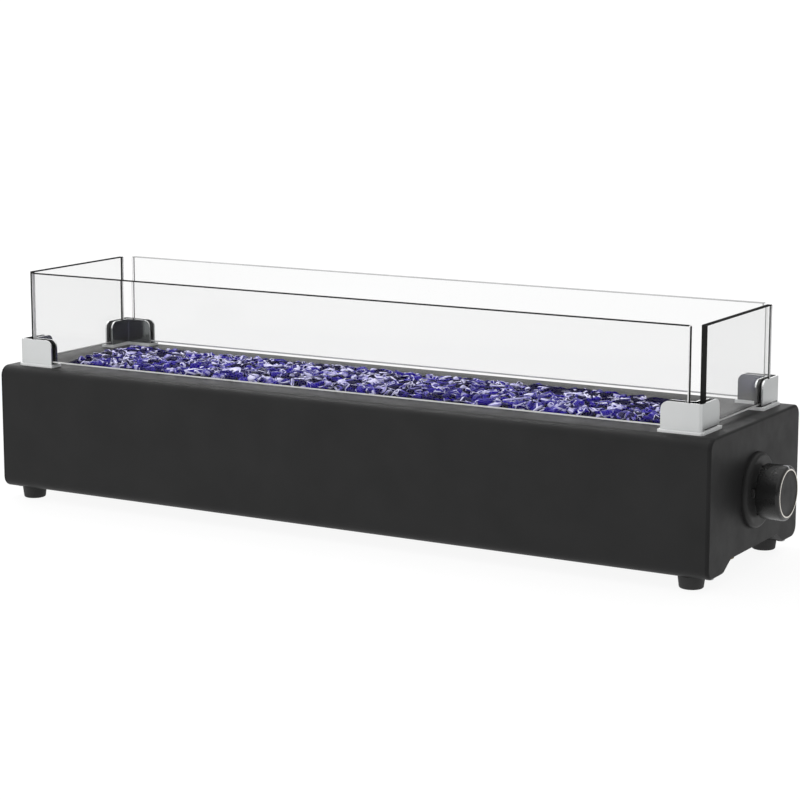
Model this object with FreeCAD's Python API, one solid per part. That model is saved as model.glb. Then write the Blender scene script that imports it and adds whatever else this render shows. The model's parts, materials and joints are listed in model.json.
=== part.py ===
import FreeCAD, Part
import math
import os
import random

# Tabletop gas fire pit: a painted sheet-steel casing on four rubber feet, a sunk tray with a pipe
# burner under crushed glass, four loose glass panels held in corner clips, and a gas valve whose
# knob stands on the right end.
# Millimetres. +Z is up, +X points along the length towards the knob, +Y points to the rear.
# Pieces are drawn about the middle of the casing and moved at export, so that the origin is the
# bottom centre of the whole object, knob included.

V = FreeCAD.Vector
X_AXIS = V(1, 0, 0)
Y_AXIS = V(0, 1, 0)
Z_AXIS = V(0, 0, 1)

# --- casing -------------------------------------------------------------------------------------
CASING_LENGTH = 711.0
CASING_WIDTH = 190.0
CASING_HEIGHT = 114.2
EDGE_RADIUS = 9.5         # bends along the four long edges
SHEET = 1.2               # steel of the wrap, the end panels and the base plate
END_RIM = 3.0             # depth of an end panel outside the wrap
END_ROUND = 2.0           # rounding of an end panel's face
END_SKIRT = 10.0          # how far an end panel reaches into the wrap
RECESS_HEIGHT = 9.7       # hollow under the casing, seen in both ends
RECESS_TOP_WIDTH = 98.0
RECESS_FOOT_WIDTH = 132.0
RECESS_BEND = 4.0
BASE_LAP_EDGE = 12.5      # from the casing's side to the base plate's edge
VENT_WIDTH = 3.6
VENT_LENGTH = 36.0
VENT_ROWS = (-28.0, 28.0)
VENT_COUNT = 7
VENT_PITCH = 68.0

# --- feet ---------------------------------------------------------------------------------------
FOOT_HEIGHT = 10.8
FOOT_TOP_RADIUS = 11.3
FOOT_BOTTOM_RADIUS = 9.9
FOOT_ROUND = 1.6
FOOT_SCREW_GAP = 0.5      # between a foot and the end panel's screw beside it
FOOT_FROM_SIDE = 18.5
FOOT_BORE_DEPTH = 5.5
FOOT_BORE_RADIUS = 4.4

# --- fasteners ----------------------------------------------------------------------------------
SCREW_RADIUS = 2.0
HEAD_RADIUS = 3.6
HEAD_HEIGHT = 2.4
HEAD_ROUND = 1.0
LOW_HEAD_HEIGHT = 1.7     # where something passes close over the screw
CROSS_LENGTH = 4.2        # cross recess in a pan head
CROSS_WIDTH = 1.0
CROSS_DEPTH = 0.8
NUT_FLATS = 7.0
NUT_HEIGHT = 3.2
HOLE_PLAY = 0.05
THREAD_SHOWN = 1.6        # screw left standing past its nut
END_SCREW_INSET = 3.6     # from the wrap's end to the screws of an end panel

# --- burner tray --------------------------------------------------------------------------------
TRAY_LEFT_MARGIN = 42.5   # deck left beside the opening
TRAY_RIGHT_MARGIN = 56.5
TRAY_SIDE_MARGIN = 40.5
TRAY_CORNER = 5.0
TRAY_BEND = 3.0           # between the tray's walls and its floor
TRAY_DEPTH = 31.0
TRAY_SHEET = 1.0
TRAY_FLANGE = 9.0
TRAY_WALL_SETBACK = 0.5

# --- burner -------------------------------------------------------------------------------------
BURNER_RADIUS = 9.5
BURNER_FROM_END = 36.0    # from the opening's left end to the burner pipe
BURNER_PAST_MIXER = 48.9  # from the mixer's axis on to the burner's right end
BURNER_WALL = 1.0
BURNER_LIFT = 4.5         # from the tray's floor to the burner pipe
PORT_RADIUS = 0.9
PORT_PITCH = 20.0
PORT_FROM_END = 30.0      # from a burner's end to its first port, at least
PORT_ANGLE = 38.0
CAP_FLANGE = 1.5
CAP_PLUG = 6.0
STUB_PLAY = 0.2           # between the burner's stub and the mixer round it
STUB_DROP = 16.0
SADDLE_WIDTH = 26.0
SADDLE_LENGTH = 14.0
SADDLE_SHEET = 1.5
SADDLE_FROM_END = 83.0    # from the burner's left end to the first saddle
SADDLE_FROM_MIXER = 58.1  # from the last saddle to the mixer's axis

# --- crushed glass ------------------------------------------------------------------------------
BED_PLAY = 0.5
BED_CELL = 10.5           # about the length of one piece of glass
BED_CROWN = 1.9           # mean height over the deck
BED_ROUGHNESS = 3.2       # how far its lumps rise and sink from there
BED_EDGE_DROP = 0.8
BED_SEED = 7

# --- gas path -----------------------------------------------------------------------------------
MIXER_RADIUS = 9.0
MIXER_WALL = 1.0
MIXER_RUN = 52.0
MIXER_OVERLAP = 8.0
MIXER_STRAIGHT = 4.0
MIXER_STAND = 3.0         # how far it stands up through the tray's floor
AIR_WINDOW_LENGTH = 10.0
AIR_WINDOW_WIDTH = 7.0
SHUTTER_WALL = 1.0
SHUTTER_MARGIN = 3.0
SHUTTER_TURN = 25.0       # how far the shutter is turned from fully open
LOCK_SCREW_RADIUS = 1.2
LOCK_HEAD_RADIUS = 2.5
LOCK_HEAD_HEIGHT = 1.4
JET_FLATS = 10.0
JET_HEX = 4.0
JET_NOSE = 6.0
JET_NOSE_RADIUS = 3.0
JET_NOSE_BASE = 4.0
JET_ORIFICE_RADIUS = 0.5
JET_THREAD_RADIUS = 3.5
JET_THREAD = 6.0
NOSE_PLAY = 0.1           # between the valve's nose and the mixer round it
NOSE_LENGTH = 16.0
VALVE_RADIUS = 12.0
VALVE_LENGTH = 35.5
VALVE_ROUND = 1.0
GAS_BORE_RADIUS = 2.0
PLUG_BIG_RADIUS = 7.5
PLUG_SMALL_RADIUS = 5.5
PLUG_LENGTH = 28.0
PLUG_PLAY = 0.05
PLUG_DEPTH = 1.5          # the plug's face, below the valve body's mouth
PLUG_SLOT_DEPTH = 12.0
TAPER_RELIEF = 1.0        # step and depth of the relief past the plug's tip
HIGH_TURN = 90.0          # the knob's turn from off to full flame
LOW_TURN = 210.0          # and on to the lowest flame
LOW_PORT_RADIUS = 0.8
TONGUE_WIDTH = 5.4
TONGUE_THICK = 2.4
TONGUE_PLAY = 0.1
TONGUE_REACH = 6.0
BONNET_LENGTH = 22.8
BONNET_FRONT_WALL = 4.0
BONNET_SIDE_WALL = 2.5
BONNET_CAVITY_RADIUS = 8.0
BONNET_FLANGE = 4.0
BONNET_EAR_RADIUS = 8.0   # of the flange round each valve screw
INLET_FROM_MOUTH = 21.5
INLET_BOSS_RADIUS = 7.0
INLET_THREAD_RADIUS = 5.5
INLET_THREAD = 6.0
PIPE_RADIUS = 4.0
PIPE_WALL = 0.8
PIPE_NUT_FLATS = 14.0
PIPE_NUT_HEIGHT = 11.0
PIPE_SOCKET = 6.0
PIPE_SHOWN = 5.35         # bare pipe between the elbow's stem and the union nut
ELBOW_STEM_RADIUS = 6.0
ELBOW_STEM_RISE = 11.0    # over the recess ceiling
ELBOW_SIZE = 14.0
ELBOW_ROUND = 1.5
FLARE_RADIUS = 5.55       # quarter-inch flare, 7/16 in thread
FLARE_LENGTH = 12.0
FLARE_STEP = 1.0          # from the thread's radius down to the cone's
FLARE_CONE = 3.5
FLARE_COLLAR = 5.0
HOSE_NUT_ROOM = 10.0      # from the fitting's axis up to the recess ceiling
LOCK_NUT_FLATS = 17.0
LOCK_NUT_HEIGHT = 5.0

# --- knob ---------------------------------------------------------------------------------------
KNOB_RADIUS = 22.8
KNOB_LENGTH = 20.0
KNOB_EDGE = 2.6
KNOB_BACK_EDGE = 0.8
PUSH_TRAVEL = 3.0         # the knob is pressed in this far before it turns
PUSHED_GAP = 0.5          # left between the bezel and the pressed knob
KNOB_WALL = 3.0
KNOB_FRONT = 5.0
KNOB_HUB_RADIUS = 7.0
RING_INSET = 2.8          # from the knob's side to the trim ring
RING_WIDTH = 1.1
RING_DEPTH = 1.6
RING_PROUD = 0.3
FACE_RECESS = 0.3
MARK_WIDTH = 1.5
MARK_DEPTH = 0.7
MARK_LENGTH = 5.0
MARK_RING_GAP = 0.5       # from the pointer's inner end to the trim ring
BEZEL_RADIUS = 31.5
BEZEL_THICKNESS = 5.0
BEZEL_ROUND = 3.4
BEZEL_WELL_PLAY = 1.9     # round the valve screws' heads
BEZEL_WELL_DEPTH = 2.4
BEZEL_HOLE_RADIUS = 6.0
VALVE_SCREW_SPACING = 30.0
VALVE_SCREW_HEAD = 2.0
STEM_RADIUS = 3.0
STEM_FLAT = 2.2           # from the axis to the flat of the D
STEM_PLAY = 0.05
STEM_IN_KNOB = 13.0
COLLAR_RADIUS = 5.5
COLLAR_LENGTH = 1.5
WASHER_PLAY = 1.4         # between the washer and the bonnet's cavity
WASHER_THICKNESS = 0.6
SPRING_INSET = 1.3        # from the washer's edge to the middle of the spring's wire
SPRING_WIRE = 0.45
SPRING_TURNS = 5

# --- glass panels and corner clips --------------------------------------------------------------
GLASS_THICKNESS = 5.0
GLASS_ARRIS = 0.5
GLASS_TOP = 86.2          # over the deck
GLASS_SIDE_INSET = 16.0   # from the casing's side to a long panel's outer face
GLASS_END_INSET = 16.6
GLASS_CORNER_GAP = 5.4    # between two neighbouring panels, both ways
CLIP_SHEET = 1.5
CLIP_WING = 35.6
CLIP_HEIGHT = 25.0
CLIP_CORNER = 2.5
CLIP_FREE_CORNER = 6.5
CLIP_BASE = 2.5
CLIP_BASE_PROUD = 1.7
CLIP_SLOT = 1.5
LINER = 0.95
LINER_FLOOR = 1.7
LINER_END_GAP = 0.5       # the liner stops this short of a wing's end
LINER_TOP_GAP = 0.8       # and this far below the wing's top
GLASS_PLAY = 0.15
CLIP_SCREW_FROM_CORNER = 23.5

# --- drawing aids -------------------------------------------------------------------------------
SKIN = 1.0                # how far a cutting tool stands past a face
NEAR = 1e-4               # places closer than this are the same
TINY = 1e-3               # sine of the angle under which two directions are the same

# --- places worked out from the sizes ------------------------------------------------------------
half_length = CASING_LENGTH / 2
half_width = CASING_WIDTH / 2
casing_bottom = FOOT_HEIGHT
deck = casing_bottom + CASING_HEIGHT
deck_under = deck - SHEET
joint_x = half_length - END_RIM
panel_inner = half_length - SHEET
recess_half = RECESS_FOOT_WIDTH / 2
recess_ceiling = casing_bottom + RECESS_HEIGHT
base_top = recess_ceiling + SHEET
lap_top = casing_bottom + 2 * SHEET
lap_half = half_width - BASE_LAP_EDGE

end_screw_x = joint_x - END_SCREW_INSET
foot_x = end_screw_x - HEAD_RADIUS - FOOT_SCREW_GAP - FOOT_TOP_RADIUS
foot_y = half_width - FOOT_FROM_SIDE

open_left = -half_length + TRAY_LEFT_MARGIN
open_right = half_length - TRAY_RIGHT_MARGIN
open_half = half_width - TRAY_SIDE_MARGIN
tray_floor = deck_under - TRAY_DEPTH + TRAY_SHEET
tray_under = tray_floor - TRAY_SHEET

knob_z = casing_bottom + CASING_HEIGHT / 2
bezel_face = half_length + BEZEL_THICKNESS
knob_back = bezel_face + PUSH_TRAVEL + PUSHED_GAP
knob_face = knob_back + KNOB_LENGTH
bonnet_back = panel_inner - BONNET_LENGTH
valve_back = bonnet_back - VALVE_LENGTH
nose_tip = valve_back - NOSE_LENGTH
plug_face = bonnet_back - PLUG_DEPTH
plug_tip = plug_face - PLUG_LENGTH
inlet_x = bonnet_back - INLET_FROM_MOUTH
jet_tip = nose_tip - JET_HEX - JET_NOSE
mixer_mouth = nose_tip + MIXER_OVERLAP
bend_x = mixer_mouth - MIXER_RUN
window_x = nose_tip - JET_HEX - AIR_WINDOW_LENGTH / 2
mixer_top = tray_floor + MIXER_STAND
mixer_bend = mixer_top - knob_z - MIXER_STRAIGHT - MIXER_STAND
mixer_x = bend_x - mixer_bend
mixer_inside = MIXER_RADIUS - MIXER_WALL
nose_radius = mixer_inside - NOSE_PLAY
stub_radius = mixer_inside - STUB_PLAY

bonnet_radius = BONNET_CAVITY_RADIUS + BONNET_SIDE_WALL
collar_face = panel_inner - BONNET_FLANGE - BONNET_FRONT_WALL
collar_back = collar_face - COLLAR_LENGTH
washer_back = collar_back - WASHER_THICKNESS
washer_radius = BONNET_CAVITY_RADIUS - WASHER_PLAY
spring_radius = washer_radius - SPRING_INSET
valve_screw_ys = (-VALVE_SCREW_SPACING / 2, VALVE_SCREW_SPACING / 2)
well_radius = VALVE_SCREW_SPACING / 2 + HEAD_RADIUS + BEZEL_WELL_PLAY
ring_radius = KNOB_RADIUS - RING_INSET
ring_inner = ring_radius - RING_WIDTH

stem_top = recess_ceiling + ELBOW_STEM_RISE
boss_end = stem_top + PIPE_SHOWN + PIPE_NUT_HEIGHT + HOLE_PLAY
pipe_top = boss_end - INLET_THREAD
pipe_bottom = stem_top - PIPE_SOCKET
flare_z = recess_ceiling - HOSE_NUT_ROOM
flare_start = inlet_x + ELBOW_SIZE / 2 + FLARE_COLLAR
flare_end = flare_start + FLARE_LENGTH

burner_z = tray_floor + BURNER_LIFT + BURNER_RADIUS
burner_left = open_left + BURNER_FROM_END
burner_right = mixer_x + BURNER_PAST_MIXER
burner_middle = (burner_left + burner_right) / 2
port_count = int((burner_right - burner_left - 2 * PORT_FROM_END + NEAR) / PORT_PITCH) + 1
saddle_left = burner_left + SADDLE_FROM_END
saddle_right = mixer_x - SADDLE_FROM_MIXER
saddle_places = [saddle_left, (saddle_left + saddle_right) / 2, saddle_right]

glass_y = half_width - GLASS_SIDE_INSET
glass_x = half_length - GLASS_END_INSET
glass_y_inner = glass_y - GLASS_THICKNESS
glass_x_inner = glass_x - GLASS_THICKNESS
long_panel_half = glass_x_inner - GLASS_CORNER_GAP
short_panel_half = glass_y_inner - GLASS_CORNER_GAP
clip_floor = deck + CLIP_BASE
glass_bottom = clip_floor + LINER_FLOOR
glass_top = deck + GLASS_TOP
clip_top = deck + CLIP_HEIGHT
clip_gap = LINER + GLASS_PLAY
clip_x = glass_x + clip_gap + CLIP_SHEET
clip_y = glass_y + clip_gap + CLIP_SHEET
inner_x = glass_x_inner - clip_gap
inner_y = glass_y_inner - clip_gap
wing_end_x = clip_x - CLIP_WING
wing_end_y = clip_y - CLIP_WING

# The casing's middle stands off the origin by half of what the knob adds to the length.
origin_shift = V(-(knob_face + RING_PROUD - half_length) / 2, 0, 0)



# --- helpers ------------------------------------------------------------------------------------
def block(low, high):
    """Box between two corners."""
    return Part.makeBox(high[0] - low[0], high[1] - low[1], high[2] - low[2], V(*low))


def rod(radius, start, end):
    """Round bar between two points."""
    start = V(*start)
    return Part.makeCylinder(radius, (V(*end) - start).Length, start, V(*end) - start)


def rod_x(radius, x0, x1, y=0.0, z=None):
    """Round bar along X, on the valve's axis unless told otherwise."""
    height = knob_z if z is None else z
    return rod(radius, (x0, y, height), (x1, y, height))


def rod_z(radius, x, y, z0, z1):
    """Upright round bar."""
    return rod(radius, (x, y, z0), (x, y, z1))


def hexagon(flats, start, end):
    """Hexagonal bar between two points, measured across its flats."""
    start = V(*start)
    along = V(*end) - start
    side = X_AXIS if abs(along.x) < 0.5 * along.Length else Y_AXIS
    across = along.cross(side).normalize()
    corner = flats / math.sqrt(3)
    points = []
    for step in range(7):
        angle = math.radians(60 * step)
        outward = side * math.cos(angle) + across * math.sin(angle)
        points.append(start + outward * corner)
    return Part.Face(Part.makePolygon(points)).extrude(along)


def oblong(radius, x0, x1, y, z0, z1):
    """Upright bar with two round ends, from x0 to x1 over all."""
    middle = block((x0 + radius, y - radius, z0), (x1 - radius, y + radius, z1))
    ends = [rod_z(radius, x0 + radius, y, z0, z1), rod_z(radius, x1 - radius, y, z0, z1)]
    return joined([middle] + ends)


def joined(shapes):
    """One solid made of several that touch or cross."""
    whole = shapes[0].fuse(shapes[1:]) if len(shapes) > 1 else shapes[0]
    return whole.removeSplitter()


def edges_along(shape, axis):
    """Straight edges that run along an axis."""
    found = []
    for edge in shape.Edges:
        if not isinstance(edge.Curve, Part.Line):
            continue
        direction = edge.tangentAt(edge.FirstParameter)
        if direction.cross(axis).Length < TINY:
            found.append(edge)
    return found


def edges_in_plane(shape, place, axis):
    """Edges that lie wholly in the plane at a height along an axis."""
    found = []
    for edge in shape.Edges:
        box = edge.BoundBox
        low = V(box.XMin, box.YMin, box.ZMin).dot(axis)
        high = V(box.XMax, box.YMax, box.ZMax).dot(axis)
        if abs(low - place) < NEAR and abs(high - place) < NEAR:
            found.append(edge)
    return found


def at_corner(edge, x, y):
    """Whether an upright edge stands at a plan position."""
    place = edge.Vertexes[0]
    return abs(place.X - x) < NEAR and abs(place.Y - y) < NEAR


def corner_places(x, y):
    """The four mirrored places of a point."""
    return [(-x, -y), (x, -y), (-x, y), (x, y)]


def four_corners(shape):
    """A rear right piece and its mirrored copies, by corner."""
    left = shape.mirror(V(0, 0, 0), X_AXIS)
    return {
        "rear_right": shape,
        "rear_left": left,
        "front_right": shape.mirror(V(0, 0, 0), Y_AXIS),
        "front_left": left.mirror(V(0, 0, 0), Y_AXIS),
    }


def save(name, shape):
    """Write one piece, or one group of like pieces, to its file."""
    moved = shape.copy()
    moved.translate(origin_shift)
    moved.exportStep(os.path.join("parts", name + ".step"))


def save_group(name, shapes):
    """Write several separate solids as one named group."""
    save(name, Part.makeCompound(shapes))


def pan_screw(x, y, under_head, tip):
    """Upright pan-head screw, its head underneath."""
    end = under_head - HEAD_HEIGHT
    head = rod_z(HEAD_RADIUS, x, y, end, under_head)
    head = head.makeFillet(HEAD_ROUND, edges_in_plane(head, end, Z_AXIS))
    shank = rod_z(SCREW_RADIUS, x, y, under_head, tip)
    along = CROSS_LENGTH / 2
    aside = CROSS_WIDTH / 2
    cross = [
        block((x - along, y - aside, end - SKIN), (x + along, y + aside, end + CROSS_DEPTH)),
        block((x - aside, y - along, end - SKIN), (x + aside, y + along, end + CROSS_DEPTH)),
    ]
    return joined([head, shank]).cut(cross)


def nut(x, y, z0):
    """Upright hexagon nut round a screw."""
    body = hexagon(NUT_FLATS, (x, y, z0), (x, y, z0 + NUT_HEIGHT))
    return body.cut(rod_z(SCREW_RADIUS + HOLE_PLAY, x, y, z0 - SKIN, z0 + NUT_HEIGHT + SKIN))


def screw_hole(x, y, z0, z1):
    """Cutting tool for a screw's hole."""
    return rod_z(SCREW_RADIUS + HOLE_PLAY, x, y, z0 - SKIN, z1 + SKIN)


# --- casing -------------------------------------------------------------------------------------
def casing_bar(x0, x1, inset):
    """The casing's outer form with its long edges rounded, drawn in by inset."""
    bar = block(
        (x0, -half_width + inset, casing_bottom + inset), (x1, half_width - inset, deck - inset)
    )
    return bar.makeFillet(EDGE_RADIUS - inset, edges_along(bar, X_AXIS))


def recess_bar(x0, x1, grow):
    """The hollow under the casing, its walls moved out by grow."""
    half_top = RECESS_TOP_WIDTH / 2
    slope = (recess_half - half_top) / RECESS_HEIGHT
    aside = grow * math.sqrt(1 + slope * slope)
    ceiling = recess_ceiling + grow
    floor = casing_bottom - SKIN
    top_y = half_top + aside - grow * slope
    foot_half = half_top + aside + (recess_ceiling - floor) * slope
    left = [V(x0, -foot_half, floor), V(x0, -top_y, ceiling)]
    right = [V(x0, top_y, ceiling), V(x0, foot_half, floor)]
    bar = Part.Face(Part.makePolygon(left + right + left[:1])).extrude(V(x1 - x0, 0, 0))
    crests = [edge for edge in edges_along(bar, X_AXIS) if abs(edge.Vertexes[0].Z - ceiling) < NEAR]
    return bar.makeFillet(RECESS_BEND + grow, crests)


def make_wrap():
    """Front, deck and rear bent from one sheet, with return flanges underneath."""
    shell = casing_bar(-joint_x, joint_x, 0).cut(casing_bar(-joint_x - SKIN, joint_x + SKIN, SHEET))
    gap = block(
        (-half_length, -recess_half, 0), (half_length, recess_half, casing_bottom + SHEET + SKIN)
    )
    shell = shell.cut([gap, tray_form(0, deck_under - SKIN, deck + SKIN)])
    tools = []
    for place in clip_screw_places():
        for x, y in corner_places(*place):
            tools.append(screw_hole(x, y, deck_under, deck))
    for x, y in corner_places(foot_x, foot_y) + corner_places(end_screw_x, foot_y):
        tools.append(screw_hole(x, y, casing_bottom, casing_bottom + SHEET))
    return shell.cut(tools)


def make_end_panel():
    """Right end panel: a pressed cap whose skirt fits inside the wrap."""
    cap = casing_bar(joint_x, half_length, 0)
    cap = cap.makeFillet(END_ROUND, edges_in_plane(cap, half_length, X_AXIS))
    cap = cap.cut(recess_bar(joint_x - SKIN, half_length + SKIN, 0))
    skirt_x = joint_x - END_SKIRT
    skirt = casing_bar(skirt_x, half_length - SHEET, SHEET)
    skirt = skirt.cut(recess_bar(skirt_x - SKIN, half_length, SHEET))
    hollow = casing_bar(skirt_x - SKIN, half_length - SHEET, 2 * SHEET)
    hollow = hollow.cut(recess_bar(skirt_x - 2 * SKIN, half_length, 2 * SHEET))
    panel = cap.fuse(skirt).cut(hollow).removeSplitter()
    holes = []
    for y in (-foot_y, foot_y):
        holes.append(screw_hole(end_screw_x, y, casing_bottom, lap_top))
    return panel.cut(holes)


def make_base_plate():
    """Floor sheet: raised over the recess, its edges lapped on the wrap's flanges."""
    skirt_x = joint_x - END_SKIRT
    lap = block((-skirt_x, -lap_half, casing_bottom + SHEET), (skirt_x, lap_half, lap_top))
    raised = recess_bar(-joint_x, joint_x, SHEET)
    inside = recess_bar(-joint_x - SKIN, joint_x + SKIN, 0)
    plate = lap.fuse(raised).cut(inside)
    under = (half_length, half_width, casing_bottom + SHEET)
    plate = plate.cut(block((-half_length, -half_width, 0), under))
    tools = []
    for x_side in (-1, 1):
        for y_side in (-1, 1):
            xs = sorted((x_side * skirt_x, x_side * half_length))
            ys = sorted((y_side * (recess_half - 2 * SHEET), y_side * half_width))
            tools.append(block((xs[0], ys[0], 0), (xs[1], ys[1], lap_top + 2 * SKIN)))
    for x, y in corner_places(foot_x, foot_y):
        tools.append(screw_hole(x, y, casing_bottom, lap_top))
    tools.append(rod_z(ELBOW_STEM_RADIUS + HOLE_PLAY, inlet_x, 0, casing_bottom, base_top + SKIN))
    for row in VENT_ROWS:
        for step in range(VENT_COUNT):
            start = (step - (VENT_COUNT - 1) / 2) * VENT_PITCH - VENT_LENGTH / 2
            low, high = recess_ceiling - SKIN, base_top + SKIN
            tools.append(oblong(VENT_WIDTH / 2, start, start + VENT_LENGTH, row, low, high))
    return plate.cut(tools)


def make_foot():
    """Tapered rubber foot at the rear right, bored for its screw."""
    place = V(foot_x, foot_y, 0)
    foot = Part.makeCone(FOOT_BOTTOM_RADIUS, FOOT_TOP_RADIUS, FOOT_HEIGHT, place, Z_AXIS)
    foot = foot.makeFillet(FOOT_ROUND, edges_in_plane(foot, 0, Z_AXIS))
    bore = rod_z(FOOT_BORE_RADIUS, foot_x, foot_y, -SKIN, FOOT_BORE_DEPTH)
    return foot.cut([bore, screw_hole(foot_x, foot_y, 0, FOOT_HEIGHT)])


def save_casing():
    save("casing_wrap", make_wrap())
    panel = make_end_panel()
    save("left_end_panel", panel.mirror(V(0, 0, 0), X_AXIS))
    knob_side = [rod_x(BEZEL_HOLE_RADIUS, panel_inner - SKIN, half_length + SKIN)]
    for y in valve_screw_ys:
        knob_side.append(rod_x(SCREW_RADIUS + HOLE_PLAY, panel_inner - SKIN, half_length + SKIN, y))
    save("right_end_panel", panel.cut(knob_side))
    save("base_plate", make_base_plate())
    for corner, foot in four_corners(make_foot()).items():
        save("foot_" + corner, foot)
    foot_tip = lap_top + NUT_HEIGHT + THREAD_SHOWN
    corners = corner_places(foot_x, foot_y)
    save_group("foot_screws", [pan_screw(x, y, FOOT_BORE_DEPTH, foot_tip) for x, y in corners])
    save_group("foot_nuts", [nut(x, y, lap_top) for x, y in corners])
    end_tip = lap_top + THREAD_SHOWN
    ends = corner_places(end_screw_x, foot_y)
    save_group("end_panel_screws", [pan_screw(x, y, casing_bottom, end_tip) for x, y in ends])


# --- burner tray and burner ---------------------------------------------------------------------
def tray_form(grow, floor, top):
    """Pan with rounded corners, its walls moved out by grow."""
    low = (open_left - grow, -open_half - grow, floor)
    pan = block(low, (open_right + grow, open_half + grow, top))
    return pan.makeFillet(TRAY_CORNER + grow, edges_along(pan, Z_AXIS))


def make_tray():
    """Sunk pan hung under the deck by its flange."""
    inner_grow = TRAY_WALL_SETBACK
    outer_grow = inner_grow + TRAY_SHEET
    outer = tray_form(outer_grow, tray_under, deck_under)
    outer = outer.makeFillet(TRAY_BEND + TRAY_SHEET, edges_in_plane(outer, tray_under, Z_AXIS))
    inner = tray_form(inner_grow, tray_floor, deck_under + SKIN)
    inner = inner.makeFillet(TRAY_BEND, edges_in_plane(inner, tray_floor, Z_AXIS))
    flange = tray_form(outer_grow + TRAY_FLANGE, deck_under - TRAY_SHEET, deck_under)
    tray = outer.fuse(flange).cut(inner).removeSplitter()
    holes = [rod_z(MIXER_RADIUS + HOLE_PLAY, mixer_x, 0, tray_under - SKIN, tray_floor + SKIN)]
    for x in saddle_places:
        holes.append(screw_hole(saddle_screw_x(x), 0, tray_under, tray_floor))
    return tray.cut(holes)


def saddle_screw_x(x):
    """Where the screw of the saddle at x goes through the tray."""
    return x + SADDLE_LENGTH / 2 + SADDLE_SHEET / 2


def make_burner():
    """Burner pipe with two rows of ports and a stub for the gas mixture underneath."""
    pipe = rod_x(BURNER_RADIUS, burner_left, burner_right, 0, burner_z)
    stub_end = burner_z - STUB_DROP
    stub = rod_z(stub_radius, mixer_x, 0, stub_end, burner_z)
    bore = rod_x(BURNER_RADIUS - BURNER_WALL, burner_left - SKIN, burner_right + SKIN, 0, burner_z)
    stub_bore = rod_z(stub_radius - BURNER_WALL, mixer_x, 0, stub_end - SKIN, burner_z)
    burner = pipe.fuse(stub).cut(bore.fuse(stub_bore))
    ports = []
    for side in (-1, 1):
        angle = math.radians(side * PORT_ANGLE)
        reach = BURNER_RADIUS + SKIN
        for step in range(port_count):
            x = burner_middle + (step - (port_count - 1) / 2) * PORT_PITCH
            tip = (x, reach * math.sin(angle), burner_z + reach * math.cos(angle))
            ports.append(rod(PORT_RADIUS, (x, 0, burner_z), tip))
    return burner.cut(ports).removeSplitter()


def make_end_caps():
    """Flanged plugs pressed into both ends of the burner pipe."""
    plug_radius = BURNER_RADIUS - BURNER_WALL
    caps = []
    for end, inward in ((burner_left, 1), (burner_right, -1)):
        flange = rod_x(BURNER_RADIUS, *sorted((end - inward * CAP_FLANGE, end)), 0, burner_z)
        plug = rod_x(plug_radius, *sorted((end, end + inward * CAP_PLUG)), 0, burner_z)
        caps.append(joined([flange, plug]))
    return caps


def make_saddle(x):
    """Angle plate that cradles the burner pipe and is screwed to the tray's floor."""
    half = SADDLE_WIDTH / 2
    far_x = x + SADDLE_SHEET + SADDLE_LENGTH
    upright = block((x, -half, tray_floor), (x + SADDLE_SHEET, half, burner_z))
    foot = block((x, -half, tray_floor), (far_x, half, tray_floor + SADDLE_SHEET))
    cradle = rod_x(BURNER_RADIUS, x - SKIN, far_x, 0, burner_z)
    hole = screw_hole(saddle_screw_x(x), 0, tray_floor, tray_floor + SADDLE_SHEET)
    return upright.fuse(foot).cut([cradle, hole]).removeSplitter()


def make_saddle_screw(x):
    """Low screw under the burner pipe, its nut below the tray."""
    place = saddle_screw_x(x)
    under_head = tray_floor + SADDLE_SHEET
    head = rod_z(HEAD_RADIUS, place, 0, under_head, under_head + LOW_HEAD_HEIGHT)
    shank = rod_z(SCREW_RADIUS, place, 0, tray_under - NUT_HEIGHT - THREAD_SHOWN, under_head)
    return joined([head, shank])


def save_tray_and_burner():
    save("burner_tray", make_tray())
    save("burner_tube", make_burner())
    save_group("burner_end_caps", make_end_caps())
    save_group("burner_saddles", [make_saddle(x) for x in saddle_places])
    save_group("saddle_screws", [make_saddle_screw(x) for x in saddle_places])
    nuts = [nut(saddle_screw_x(x), 0, tray_under - NUT_HEIGHT) for x in saddle_places]
    save_group("saddle_nuts", nuts)


# --- crushed glass ------------------------------------------------------------------------------
def bed_surface():
    """Closed body with an uneven faceted top, filling the tray up to just above the deck."""
    rng = random.Random(BED_SEED)
    x0, x1 = open_left + BED_PLAY, open_right - BED_PLAY
    y0, y1 = -open_half + BED_PLAY, open_half - BED_PLAY
    columns = int(round((x1 - x0) / BED_CELL))
    rows = int(round((y1 - y0) / BED_CELL))
    points = []
    for row in range(rows + 1):
        for column in range(columns + 1):
            lift = BED_CROWN + rng.uniform(-BED_ROUGHNESS, BED_ROUGHNESS)
            if row in (0, rows) or column in (0, columns):
                lift = -BED_EDGE_DROP
            x = x0 + (x1 - x0) * column / columns
            y = y0 + (y1 - y0) * row / rows
            points.append(V(x, y, deck + lift))
    width = columns + 1
    under = len(points)
    points += [V(point.x, point.y, tray_floor) for point in points]
    faces = []
    for row in range(rows):
        for column in range(columns):
            a = row * width + column
            b, c, d = a + 1, a + width + 1, a + width
            faces += [(a, b, c), (a, c, d)]
            faces += [(under + a, under + c, under + b), (under + a, under + d, under + c)]
    rim = list(range(width))
    rim += [row * width + columns for row in range(1, rows + 1)]
    rim += [rows * width + column for column in range(columns - 1, -1, -1)]
    rim += [row * width for row in range(rows - 1, 0, -1)]
    for here, after in zip(rim, rim[1:] + rim[:1]):
        faces += [(here, under + here, under + after), (here, under + after, after)]
    body = Part.Shape()
    body.makeShapeFromMesh((points, faces), TINY)
    return Part.Solid(body).removeSplitter()


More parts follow.
